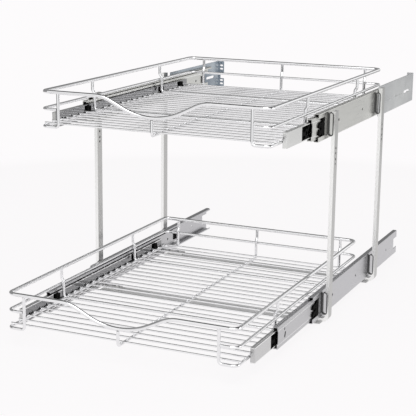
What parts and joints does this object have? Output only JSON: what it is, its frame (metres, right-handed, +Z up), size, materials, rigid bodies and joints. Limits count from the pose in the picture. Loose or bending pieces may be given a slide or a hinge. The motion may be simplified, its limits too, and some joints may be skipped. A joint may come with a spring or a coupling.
{
  "type": "pull-out cabinet basket",
  "caption": "Two-tier chrome wire pull-out basket unit on full-extension ball-bearing slides in a low post frame for a kitchen base cabinet.",
  "frame": {"origin": "middle of the floor screw pattern, on the underside of the two floor strips", "axes": "+Z up, -Y the way the baskets pull out, X across the unit"},
  "size_m": [0.442, 0.8331, 0.3893],
  "materials": {
    "chrome_wire": "bright chrome plate on welded steel wire",
    "zinc_steel": "bright zinc plate",
    "slide_steel": "bright zinc plate, rolled strip",
    "retainer_steel": "plain rolled strip",
    "ball_steel": "polished",
    "screw_steel": "zinc plate",
    "black_plastic": "moulded, satin"
  },
  "bodies": {
    "frame": {"front_left_post": "zinc_steel", "front_right_post": "zinc_steel", "rear_left_post": "zinc_steel", "rear_right_post": "zinc_steel", "front_floor_strip": "zinc_steel", "rear_floor_strip": "zinc_steel", "frame_screws": "screw_steel", "slide_standoffs": "zinc_steel", "upper_left_rear_bracket": "zinc_steel", "upper_right_rear_bracket": "zinc_steel", "upper_left_cabinet_member": "slide_steel", "upper_right_cabinet_member": "slide_steel", "lower_left_cabinet_member": "slide_steel", "lower_right_cabinet_member": "slide_steel", "upper_left_front_bumper": "black_plastic", "upper_right_front_bumper": "black_plastic", "lower_left_front_bumper": "black_plastic", "lower_right_front_bumper": "black_plastic"},
    "upper_right_runner": {"upper_right_intermediate": "slide_steel", "upper_right_runner_stops": "black_plastic"},
    "upper_right_outer_train": {"upper_right_outer_cage": "ball_steel"},
    "upper_right_inner_train": {"upper_right_inner_retainer": "retainer_steel", "upper_right_inner_balls": "ball_steel"},
    "upper_left_runner": {"upper_left_intermediate": "slide_steel", "upper_left_runner_stops": "black_plastic"},
    "upper_left_outer_train": {"upper_left_outer_cage": "ball_steel"},
    "upper_left_inner_train": {"upper_left_inner_retainer": "retainer_steel", "upper_left_inner_balls": "ball_steel"},
    "upper_basket": {"upper_top_rail": "chrome_wire", "upper_mid_rail": "chrome_wire", "upper_corner_hoops": "chrome_wire", "upper_centre_hoop": "chrome_wire", "upper_side_hoops": "chrome_wire", "upper_floor_wires": "chrome_wire", "upper_clips": "black_plastic", "upper_left_drawer_member": "slide_steel", "upper_right_drawer_member": "slide_steel", "upper_left_lever": "black_plastic", "upper_right_lever": "black_plastic"},
    "lower_right_runner": {"lower_right_intermediate": "slide_steel", "lower_right_runner_stops": "black_plastic"},
    "lower_right_outer_train": {"lower_right_outer_cage": "ball_steel"},
    "lower_right_inner_train": {"lower_right_inner_retainer": "retainer_steel", "lower_right_inner_balls": "ball_steel"},
    "lower_left_runner": {"lower_left_intermediate": "slide_steel", "lower_left_runner_stops": "black_plastic"},
    "lower_left_outer_train": {"lower_left_outer_cage": "ball_steel"},
    "lower_left_inner_train": {"lower_left_inner_retainer": "retainer_steel", "lower_left_inner_balls": "ball_steel"},
    "lower_basket": {"lower_top_rail": "chrome_wire", "lower_mid_rail": "chrome_wire", "lower_corner_hoops": "chrome_wire", "lower_centre_hoop": "chrome_wire", "lower_side_hoops": "chrome_wire", "lower_floor_wires": "chrome_wire", "lower_clips": "black_plastic", "lower_left_drawer_member": "slide_steel", "lower_right_drawer_member": "slide_steel", "lower_left_lever": "black_plastic", "lower_right_lever": "black_plastic"}
  },
  "joints": [
    {"name": "upper_right_runner_slide", "type": "slide", "parent": "frame", "child": "upper_right_runner", "axis": [0, -1, 0], "range_m": [-0.024, 0.221]},
    {"name": "upper_left_runner_slide", "type": "slide", "parent": "frame", "child": "upper_left_runner", "axis": [0, -1, 0], "range_m": [-0.024, 0.221]},
    {"name": "upper_basket_slide", "type": "slide", "parent": "upper_right_runner", "child": "upper_basket", "axis": [0, -1, 0], "range_m": [-0.1015, 0.1435]},
    {"name": "upper_right_outer_train_roll", "type": "slide", "parent": "frame", "child": "upper_right_outer_train", "axis": [0, -1, 0], "range_m": [-0.012, 0.1105]},
    {"name": "upper_right_inner_train_roll", "type": "slide", "parent": "upper_right_runner", "child": "upper_right_inner_train", "axis": [0, -1, 0], "range_m": [-0.05075, 0.07175]},
    {"name": "upper_left_outer_train_roll", "type": "slide", "parent": "frame", "child": "upper_left_outer_train", "axis": [0, -1, 0], "range_m": [-0.012, 0.1105]},
    {"name": "upper_left_inner_train_roll", "type": "slide", "parent": "upper_left_runner", "child": "upper_left_inner_train", "axis": [0, -1, 0], "range_m": [-0.05075, 0.07175]},
    {"name": "lower_right_runner_slide", "type": "slide", "parent": "frame", "child": "lower_right_runner", "axis": [0, -1, 0], "range_m": [-0.15, 0.095]},
    {"name": "lower_left_runner_slide", "type": "slide", "parent": "frame", "child": "lower_left_runner", "axis": [0, -1, 0], "range_m": [-0.15, 0.095]},
    {"name": "lower_basket_slide", "type": "slide", "parent": "lower_right_runner", "child": "lower_basket", "axis": [0, -1, 0], "range_m": [-0.0855, 0.1595]},
    {"name": "lower_right_outer_train_roll", "type": "slide", "parent": "frame", "child": "lower_right_outer_train", "axis": [0, -1, 0], "range_m": [-0.075, 0.0475]},
    {"name": "lower_right_inner_train_roll", "type": "slide", "parent": "lower_right_runner", "child": "lower_right_inner_train", "axis": [0, -1, 0], "range_m": [-0.04275, 0.07975]},
    {"name": "lower_left_outer_train_roll", "type": "slide", "parent": "frame", "child": "lower_left_outer_train", "axis": [0, -1, 0], "range_m": [-0.075, 0.0475]},
    {"name": "lower_left_inner_train_roll", "type": "slide", "parent": "lower_left_runner", "child": "lower_left_inner_train", "axis": [0, -1, 0], "range_m": [-0.04275, 0.07975]}
  ],
  "couplings": [
    {"joint": "upper_left_runner_slide", "follows": "upper_right_runner_slide", "ratio": 1},
    {"joint": "upper_right_outer_train_roll", "follows": "upper_right_runner_slide", "ratio": 0.5},
    {"joint": "upper_right_inner_train_roll", "follows": "upper_basket_slide", "ratio": 0.5},
    {"joint": "upper_left_outer_train_roll", "follows": "upper_right_runner_slide", "ratio": 0.5},
    {"joint": "upper_left_inner_train_roll", "follows": "upper_basket_slide", "ratio": 0.5},
    {"joint": "lower_left_runner_slide", "follows": "lower_right_runner_slide", "ratio": 1},
    {"joint": "lower_right_outer_train_roll", "follows": "lower_right_runner_slide", "ratio": 0.5},
    {"joint": "lower_right_inner_train_roll", "follows": "lower_basket_slide", "ratio": 0.5},
    {"joint": "lower_left_outer_train_roll", "follows": "lower_right_runner_slide", "ratio": 0.5},
    {"joint": "lower_left_inner_train_roll", "follows": "lower_basket_slide", "ratio": 0.5}
  ]
}
